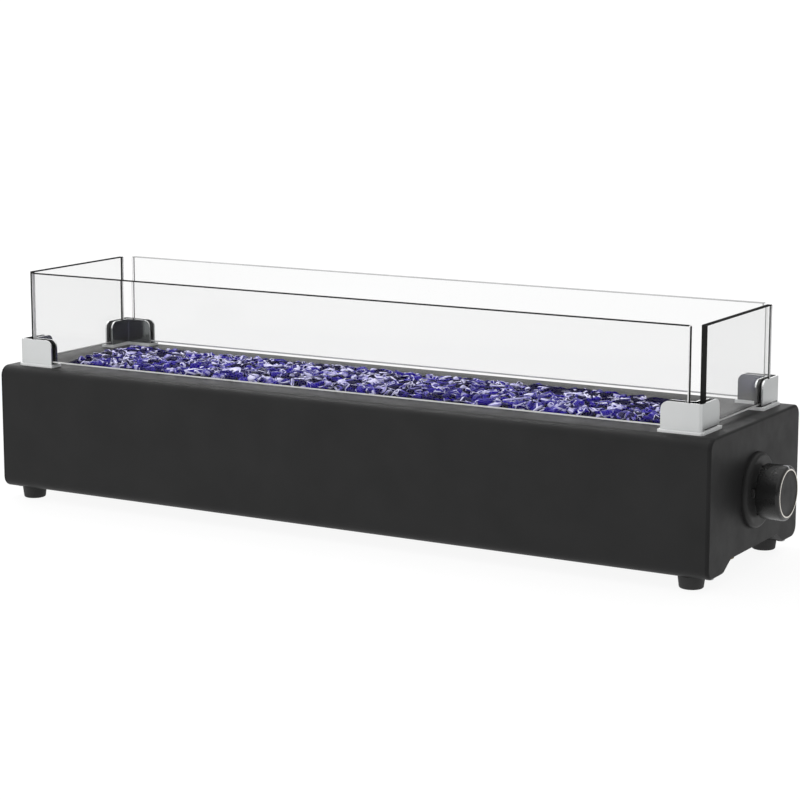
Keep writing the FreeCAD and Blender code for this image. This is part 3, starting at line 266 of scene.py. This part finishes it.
def glint_edge():
    """The guard panels' bright edges, matt: a painted glint where they catch the light."""
    finish = Finish("guard_glass_glint_edge")
    finish.drive("Base Color", finish.ramp(finish.noise(60.0), grey(0.84), grey(0.94)))
    finish.drive("Roughness", finish.span(finish.noise(300.0), 0.5, 0.7))
    return finish.material


def edge_tone(name, dark, light):
    """The guard panels' polished edges in one tone: painted shade where they gather little light, or a
    paler painted highlight.
    """
    finish = Finish(name)
    finish.drive("Base Color", finish.ramp(finish.noise(9.0), grey(dark), grey(light)))
    finish.drive("Roughness", finish.span(finish.noise(300.0), 0.25, 0.4))
    finish.set(Specular_IOR_Level=0.0)
    return finish.material


def chip_glass(name, dark, light, gloss):
    """Crushed glass, each chip of its own shade between two tones."""
    finish = Finish(name)
    finish.drive("Base Color", finish.ramp(finish.island(), dark, light, (0.0, 1.0)))
    finish.drive("Roughness", finish.span(finish.noise(500.0), 0.04, 0.14))
    finish.bump(finish.noise(260.0, detail=1.0), 0.0004)
    finish.set(Specular_IOR_Level=gloss)
    return finish.material


def chip_edge_highlight():
    """The chips' bevelled edges, with painted highlights in patches where they would catch the light and
    blue between.
    """
    finish = Finish("chip_edge_highlight_glass")
    blue, bright = (0.04, 0.02, 0.40), (0.68, 0.66, 0.97)
    finish.drive("Base Color", finish.ramp(finish.noise(90.0, detail=1.0), blue, bright, (0.42, 0.52)))
    finish.drive("Roughness", finish.span(finish.noise(500.0), 0.1, 0.2))
    return finish.material


# --- pieces -------------------------------------------------------------------------------------
def new_object(name, mesh, materials, body):
    """A mesh object that rides on a body of the model."""
    piece = bpy.data.objects.new(name, mesh)
    bpy.context.scene.collection.objects.link(piece)
    for material in materials:
        mesh.materials.append(material)
    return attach(piece, body)


def chip_form(rng):
    """One chip about the origin: a squashed, faceted lump, and which of its faces are bevelled edges."""
    form = bmesh.new()
    for _ in range(CHIP_CORNERS):
        way = Vector([rng.gauss(0, 1) for _ in range(3)]).normalized()
        reach = rng.uniform(*CHIP_REACH)
        form.verts.new([part * half * reach for part, half in zip(way, CHIP_SIZE)])
    hull = bmesh.ops.convex_hull(form, input=form.verts)
    spare = [item for item in hull["geom_interior"] if isinstance(item, bmesh.types.BMVert)]
    bmesh.ops.delete(form, geom=spare, context="VERTS")
    bmesh.ops.dissolve_limit(form, angle_limit=CHIP_FACET, verts=form.verts, edges=form.edges)
    bevel = bmesh.ops.bevel(
        form, geom=list(form.edges), offset=CHIP_BEVEL, segments=1, affect="EDGES", clamp_overlap=True
    )
    edges = set(bevel["faces"])
    points = [vert.co.copy() for vert in form.verts]
    form.verts.index_update()
    faces = [([vert.index for vert in face.verts], face in edges) for face in form.faces]
    form.free()
    return points, faces


def bed_surface():
    """The lumpy surface of the model's bed, to lay chips on."""
    bed = frame["nodes"]["fire_glass_bed"]
    points = [bed.matrix_world @ vert.co for vert in bed.data.vertices]
    return BVHTree.FromPolygons(points, [list(face.vertices) for face in bed.data.polygons])


def blend(low, high, share):
    """Between two values, by a share that is kept between 0 and 1."""
    return low + (high - low) * min(max(share, 0.0), 1.0)


def top_limit(place, far_y):
    """How high chips may stand at a place on the bed, whose far side is at far_y."""
    start, end = CHIP_CORNER
    far_top = blend(CHIP_FAR_TOP, CHIP_CORNER_TOP, (place.x - start) / (end - start))
    return blend(CHIP_TOP, far_top, 0.5 + place.y / far_y)


def laid_chip(form_points, place, surface, low, high, rng):
    """A chip's points, laid on the bed at a place and kept inside the opening."""
    hit, slope = surface.ray_cast(place, Vector((0, 0, -1)))[:2]
    tilt = [rng.uniform(-CHIP_TILT, CHIP_TILT) for _ in range(2)]
    turn = slope.to_track_quat("Z", "Y") @ Euler(tilt + [rng.uniform(0, math.tau)]).to_quaternion()
    scale = rng.uniform(*CHIP_SCALES)
    middle = hit + slope * rng.uniform(*CHIP_LIFT)
    placed = [middle + turn @ (point * scale) for point in form_points]
    push = Vector((0, 0, min(0.0, top_limit(place, high.y) - max(point.z for point in placed))))
    for axis in (X, Y):
        push[axis] += max(0.0, low[axis] - min(point[axis] for point in placed))
        push[axis] += min(0.0, high[axis] - max(point[axis] for point in placed))
    return [point + push for point in placed]


def crushed_glass():
    """Loose chips that lie on the bed, in one mesh."""
    rng = random.Random(CHIP_SEED)
    low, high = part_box("fire_glass_bed")
    low.y += CHIP_FRONT_GAP
    surface = bed_surface()
    forms = [chip_form(rng) for _ in range(CHIP_FORMS)]
    points, faces, indices = [], [], []
    columns = int((high.x - low.x) / CHIP_STEP)
    rows = int((high.y - low.y) / CHIP_STEP)
    for row in range(rows + 1):
        for column in range(columns + 1):
            x = low.x + CHIP_STEP * (column + rng.uniform(-CHIP_STRAY, CHIP_STRAY))
            y = low.y + CHIP_STEP * (row + rng.uniform(-CHIP_STRAY, CHIP_STRAY))
            if (x - low.x) / BARE_CORNER[0] + (y - low.y) / BARE_CORNER[1] < 1:
                continue
            place = Vector((
                min(max(x, low.x + CHIP_WALL_GAP), high.x - CHIP_WALL_GAP),
                min(max(y, low.y + CHIP_WALL_GAP), high.y - CHIP_WALL_GAP),
                high.z + CHIP_STEP,
            ))
            form_points, form_faces = rng.choice(forms)
            start = len(points)
            points += laid_chip(form_points, place, surface, low, high, rng)
            patch = 0.5 + noise.noise(place * CHIP_PATCH)
            chance = blend(rng.random(), patch, PATCH_WEIGHT)
            kind = sum(chance > share for share in CHIP_SHARES)
            # some chips' bevelled edges get painted highlights
            edge_kind = EDGE_HIGHLIGHT if rng.random() < BRIGHT_EDGES[kind] else kind
            for corners, is_edge in form_faces:
                faces.append([start + index for index in corners])
                indices.append(edge_kind if is_edge else kind)
    mesh = bpy.data.meshes.new("crushed_glass")
    mesh.from_pydata(points, [], faces)
    mesh.polygons.foreach_set("material_index", indices)
    mesh.polygons.foreach_set("use_smooth", [True] * len(faces))
    materials = [
        chip_glass("cobalt_glass", (0.008, 0.003, 0.13), (0.018, 0.005, 0.31), 0.03),
        chip_glass("pale_glass", (0.26, 0.23, 0.62), (0.70, 0.68, 0.97), 0.4),
        chip_glass("navy_glass", (0.005, 0.003, 0.035), (0.010, 0.005, 0.10), 0.02),
        chip_edge_highlight(),
    ]
    piece = new_object("crushed_glass", mesh, materials, "housing")


def panel_finish(side, thin, face, low, high):
    """Which of the panels' materials a face gets.

    Polished edges get painted shade, but a paler painted highlight where they face down, and that
    or clear glass on the rear panel. The long panels' lower edges get a bright matt painted glint,
    with a band of it up their near faces, and so do the front panel's ends, but for its right end's
    flat, and the lit part of a short panel's far end.
    """
    centre = face.calc_center_median()
    along = face.normal[1 - thin]
    flat_end = abs(along) > FLAT
    is_long = thin == Y
    if is_long and centre.z < low.z + GLINT_BAND and face.normal.y < HALFWAY:
        return GLINT
    if abs(face.normal[thin]) > FLAT:
        return CLEAR
    if face.normal.z < -SLANT:
        return PALE_GLINT
    if side == "rear":
        return CLEAR if flat_end else PALE_GLINT
    if side == "front":
        return GLINT if abs(along) > SLANT and not (flat_end and along > 0) else DARK
    is_lit = along > SLANT and centre.x > high.x - LIT_END * (high.x - low.x)
    return GLINT if is_lit else DARK


def guard_panel(side, materials):
    """A glass panel with rounded edges in place of its solid."""
    low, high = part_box("glass_" + side)
    size = high - low
    thin = X if size.x < size.y else Y
    form = bmesh.new()
    bmesh.ops.create_cube(form, size=1.0)
    for vert in form.verts:
        vert.co = Vector([corner + (part + 0.5) * long for part, corner, long in zip(vert.co, low, size)])
    bmesh.ops.bevel(
        form, geom=list(form.edges), offset=EDGE_ROUND, segments=EDGE_STEPS, profile=0.5, affect="EDGES"
    )
    cuts = [((0, 0, 1), low.z + GLINT_BAND)]
    if thin == X:
        cuts.append(((1, 0, 0), high.x - LIT_END * size.x))
    for way, place in cuts:
        geometry = list(form.verts) + list(form.edges) + list(form.faces)
        bmesh.ops.bisect_plane(form, geom=geometry, plane_co=Vector(way) * place, plane_no=way)
    for face in form.faces:
        face.normal_update()
        face.material_index = panel_finish(side, thin, face, low, high)
    mesh = bpy.data.meshes.new(side + "_guard_panel")
    form.to_mesh(mesh)
    form.free()
    piece = new_object(side + "_guard_panel", mesh, materials, side + "_glass")
    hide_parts("glass_" + side)


def guard_panels():
    materials = [
        clear_glass("guard_glass_face", (0.925, 0.926, 0.926), (0.825, 0.827, 0.827), (0.0, 0.004)),
        # edge tones: painted shade, a paler painted highlight, and a bright painted glint
        edge_tone("guard_glass_dark_edge", 0.022, 0.034),
        edge_tone("guard_glass_pale_glint_edge", 0.46, 0.58),
        glint_edge(),
    ]
    for side in ("front", "rear", "left", "right"):
        guard_panel(side, materials)


def valve_spring():
    """The valve's spring, which shortens towards the plug as the knob is pushed; this copy rides on the
    housing at its rest length.
    """
    node = frame["nodes"]["valve_spring"]
    mesh = node.data.copy()
    mesh.transform(node.matrix_world)
    piece = new_object("valve_spring_coil", mesh, (), "housing")
    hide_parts("valve_spring")
    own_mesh(piece)


def light_and_shade_clip(node, wing):
    """Give a clip's rims and its base a painted highlight and its wings across X painted shade, each a
    lighter or darker copy of its steel.
    """
    base = min((node.matrix_world @ vert.co).z for vert in node.data.vertices) + CLIP_BASE
    for face in node.data.polygons:
        if (node.matrix_world @ face.center).z < base:
            face.material_index = LIT_BASE
        elif abs(face.normal.z) > SLANT:
            face.material_index = LIT_RIM
        else:
            face.material_index = wing if abs(face.normal.x) > ACROSS else SHEET


def node_finishes():
    """The finishes of the model's own nodes, by material slot, and of their special parts."""
    steel = brushed("fastener_steel", (0.40, 0.40, 0.41), grey(0.52), (0.28, 0.42), X)
    return {
        "casing_paint": powder_coat("casing_paint", 0.0190, 0.0225, 0.12),
        # painted shade: the end panels get a darker copy of the casing paint
        "casing_end": powder_coat("casing_end_paint", 0.0150, 0.0180, 0.09),
        "stainless": brushed("stainless", (0.44, 0.43, 0.41), (0.58, 0.56, 0.53), (0.25, 0.4), X),
        "fastener_steel": steel,
        "clip_steel": brushed("clip_steel", (0.53, 0.54, 0.54), (0.58, 0.59, 0.59), (0.28, 0.34), X),
        # painted highlight on the clips' rims and base, painted shade on their wings across X
        "clip_rim": brushed("rim_highlight_steel", (0.86, 0.87, 0.87), (0.92, 0.93, 0.93), (0.16, 0.24), X),
        "clip_wing": brushed("wing_shade_steel", (0.38, 0.39, 0.39), (0.43, 0.44, 0.44), (0.28, 0.34), Y),
        "clip_base": blotched(
            "base_highlight_steel", (0.90, 0.91, 0.91), (0.96, 0.97, 0.97), (0.3, 0.4),
            BRUSH_GRAIN, BRUSH_DEPTH, Metallic=0.1,
        ),
        # painted shade: the inner plates get a darker copy of the clip steel
        "clip_inner": brushed("clip_inner_steel", (0.14, 0.15, 0.15), (0.19, 0.20, 0.20), (0.12, 0.2), X),
        # the bed under the chips: navy glass darkened nearly to black, partly painted shade, so gaps
        # between chips read as shadow
        "fire_glass": chip_glass("shaded_bed_glass", (0.003, 0.002, 0.022), (0.005, 0.003, 0.035), 0.0),
        # painted shade: brass darkened so the inlet elbow, showing in the right end's recess, stays as
        # dark as the shade there
        "brass": brushed("shaded_brass", (0.16, 0.12, 0.055), (0.24, 0.185, 0.085), (0.3, 0.45), Z),
        "valve_casting": blotched(
            "valve_casting", (0.42, 0.42, 0.43), grey(0.55), (0.45, 0.6),
            grain=900.0, depth=0.00008, Metallic=1.0,
        ),
        "riser_pipe": brushed("riser_pipe", (0.52, 0.52, 0.53), grey(0.64), (0.25, 0.4), Z),
        "foot_rubber": moulded("foot_rubber", grey(0.004), grey(0.009), (0.6, 0.75)),
        "liner_rubber": moulded("liner_rubber", grey(0.006), grey(0.012), (0.6, 0.8)),
        "knob_plastic": moulded(
            "knob_plastic", grey(0.006), grey(0.009), (0.22, 0.32), Specular_IOR_Level=0.38
        ),
        "bezel_plastic": moulded(
            "bezel_plastic", grey(0.016), grey(0.022), (0.4, 0.5), Specular_IOR_Level=0.15
        ),
        "face_plastic": moulded(
            "face_plastic", grey(0.012), grey(0.016), (0.35, 0.5), Specular_IOR_Level=0.1
        ),
        "ring_metal": brushed("ring_metal", (0.56, 0.53, 0.48), (0.66, 0.63, 0.58), (0.14, 0.22), Y),
        "pointer_paint": moulded("pointer_paint", (0.55, 0.56, 0.58), (0.66, 0.67, 0.69), (0.45, 0.55)),
    }


def dress_nodes():
    """Give each node of the model that stays in view its finish."""
    finishes = node_finishes()
    for subpart in frame["record"]["subparts"]:
        # the inner plates get the darker steel, painted shade
        is_inner = subpart["node"].startswith("clip_inner")
        finish = "clip_inner" if is_inner else subpart["material_slot"]
        # the end panels take the darker copy of the paint, painted shade
        if subpart["node"].endswith("end_panel"):
            finish = "casing_end"
        if finish not in finishes:
            continue
        node = frame["nodes"][subpart["node"]]
        node.data.materials.clear()
        node.data.materials.append(finishes[finish])
        if subpart["material_slot"] == "clip_steel":
            # rims and base get a painted highlight, wings across X painted shade
            for name in ("clip_rim", "clip_base", "clip_wing"):
                node.data.materials.append(finishes[name])
            light_and_shade_clip(node, SHEET if is_inner else SHADED_WING)


# --- studio -------------------------------------------------------------------------------------
def floor_finish():
    """Matt pale floor, faintly uneven in tone, that glows a little like a lit studio table."""
    finish = Finish("floor")
    finish.drive("Base Color", finish.ramp(finish.noise(0.8), *map(grey, FLOOR_TONES)))
    finish.drive("Emission Color", finish.ramp(finish.noise(0.5), *map(grey, FLOOR_GLOW_TONES)))
    finish.set(Roughness=0.8, Specular_IOR_Level=0.1, Emission_Strength=FLOOR_GLOW)
    return finish.material


def make_floor():
    form = bmesh.new()
    bmesh.ops.create_circle(form, cap_ends=True, radius=FLOOR_RADIUS, segments=FLOOR_CORNERS)
    mesh = bpy.data.meshes.new("floor")
    form.to_mesh(mesh)
    form.free()
    floor = bpy.data.objects.new("floor", mesh)
    bpy.context.scene.collection.objects.link(floor)
    mesh.materials.append(floor_finish())


def sky_part(tree, view, way, places, tones, strength):
    """Soft light whose tone changes along one direction of the surroundings."""
    along = tree.nodes.new("ShaderNodeVectorMath")
    along.operation = "DOT_PRODUCT"
    along.inputs[1].default_value = way
    ramp = tree.nodes.new("ShaderNodeValToRGB")
    for element, place, tone in zip(ramp.color_ramp.elements, places, tones):
        element.position = place
        element.color = (*grey(tone), 1.0)
    background = tree.nodes.new("ShaderNodeBackground")
    background.inputs["Strength"].default_value = strength
    tree.links.new(view, along.inputs[0])
    tree.links.new(along.outputs["Value"], ramp.inputs["Fac"])
    tree.links.new(ramp.outputs["Color"], background.inputs["Color"])
    return background.outputs["Background"]


def make_world():
    """Soft white surroundings, brighter overhead and at the rear left."""
    world = bpy.data.worlds.new("studio")
    world.use_nodes = True
    bpy.context.scene.world = world
    tree = world.node_tree
    view = tree.nodes.new("ShaderNodeTexCoord").outputs["Generated"]
    light = sky_part(tree, view, *SKY[0])
    for part in SKY[1:]:
        both = tree.nodes.new("ShaderNodeAddShader")
        tree.links.new(light, both.inputs[0])
        tree.links.new(sky_part(tree, view, *part), both.inputs[1])
        light = both.outputs["Shader"]
    tree.links.new(light, tree.nodes["World Output"].inputs["Surface"])


def make_lights():
    for name, place, aim, size, power in LIGHTS:
        light = bpy.data.lights.new(name, "AREA")
        light.size = size
        light.energy = power
        lamp = bpy.data.objects.new(name, light)
        lamp.location = place
        lamp.rotation_euler = (Vector(aim) - Vector(place)).to_track_quat("-Z", "Y").to_euler()
        bpy.context.scene.collection.objects.link(lamp)


def make_camera():
    camera = bpy.data.cameras.new("camera")
    camera.lens = LENS_MM
    camera.sensor_width = SENSOR_MM
    camera.clip_end = 2 * FLOOR_RADIUS
    eye = bpy.data.objects.new("camera", camera)
    eye.location = CAMERA_PLACE
    eye.rotation_euler = (math.radians(90 - CAMERA_TILT), 0.0, math.radians(CAMERA_YAW))
    bpy.context.scene.collection.objects.link(eye)
    bpy.context.scene.camera = eye


make_camera()
make_floor()
make_world()
make_lights()
bpy.context.scene.view_settings.view_transform = "Standard"
dress_nodes()
crushed_glass()
guard_panels()
valve_spring()
